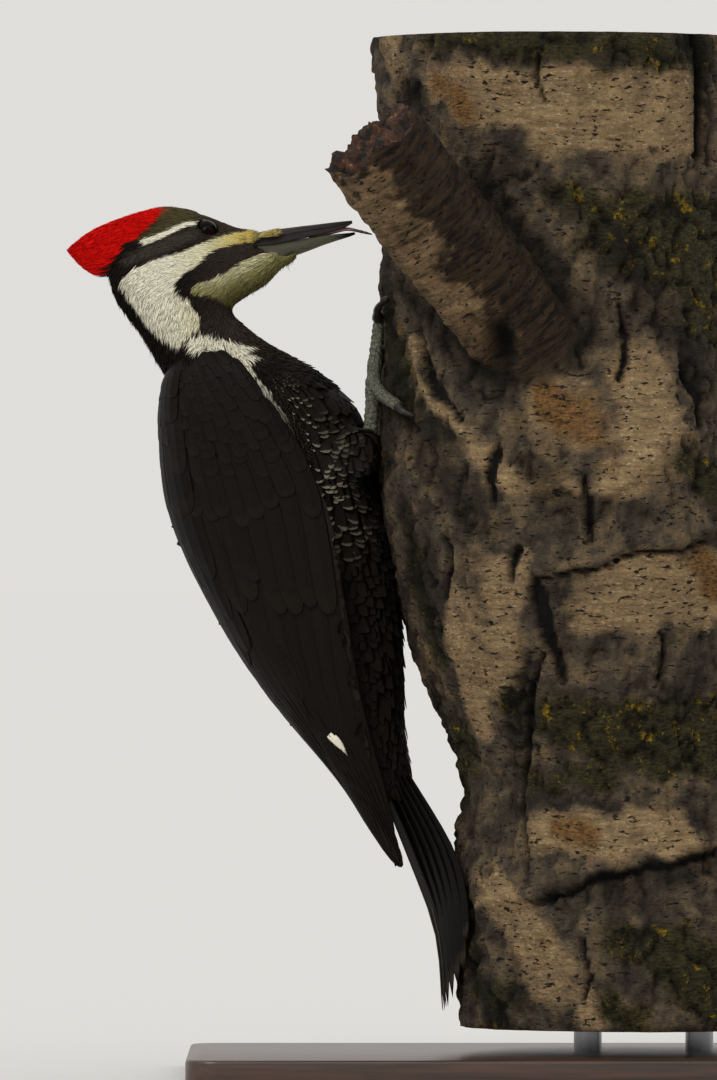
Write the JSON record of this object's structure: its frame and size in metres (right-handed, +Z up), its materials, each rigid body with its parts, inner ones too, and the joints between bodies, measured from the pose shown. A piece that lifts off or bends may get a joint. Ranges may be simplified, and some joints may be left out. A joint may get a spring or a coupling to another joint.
{
  "type": "female pileated woodpecker on a trunk perch",
  "caption": "Life-size female pileated woodpecker clinging upright to a cut length of aspen trunk with a broken branch, bill parted, on a plain display stand.",
  "frame": {"origin": "centre of the stand base's underside", "axes": "+X the way the bird faces, +Y the bird's left side, +Z up"},
  "size_m": [0.3724, 0.229, 0.446],
  "materials": {
    "black_plumage": "soft, close-lying feathers, satin black-brown",
    "red_crest_plumage": "soft scarlet feathers",
    "horn_bill": "satin dark horn",
    "lower_bill_horn": "satin olive-grey horn",
    "tongue_flesh": "damp dark flesh",
    "eye_gloss": "polished, wet-looking",
    "grey_foot_skin": "dull scaled skin",
    "claw_horn": "smooth dark horn",
    "aspen_bark": "rough weathered bark",
    "broken_wood": "rough broken and weathered wood",
    "dark_stained_wood": "satin stained board",
    "brushed_steel_rod": "brushed"
  },
  "bodies": {
    "root": {"bill_lower": "lower_bill_horn", "bill_upper": "horn_bill", "claw_hind_left": "claw_horn", "claw_hind_right": "claw_horn", "claw_inner_left": "claw_horn", "claw_inner_right": "claw_horn", "claw_middle_left": "claw_horn", "claw_middle_right": "claw_horn", "claw_outer_left": "claw_horn", "claw_outer_right": "claw_horn", "crest": "red_crest_plumage", "eye_left": "eye_gloss", "eye_right": "eye_gloss", "foot_left": "grey_foot_skin", "foot_right": "grey_foot_skin", "head": "black_plumage", "neck": "black_plumage", "perch_log": "aspen_bark", "perch_stub": "broken_wood", "stand_base": "dark_stained_wood", "stand_rod_left": "brushed_steel_rod", "stand_rod_right": "brushed_steel_rod", "tail": "black_plumage", "thigh_left": "black_plumage", "thigh_right": "black_plumage", "tongue": "tongue_flesh", "torso": "black_plumage", "wing_left": "black_plumage", "wing_right": "black_plumage"}
  },
  "joints": []
}
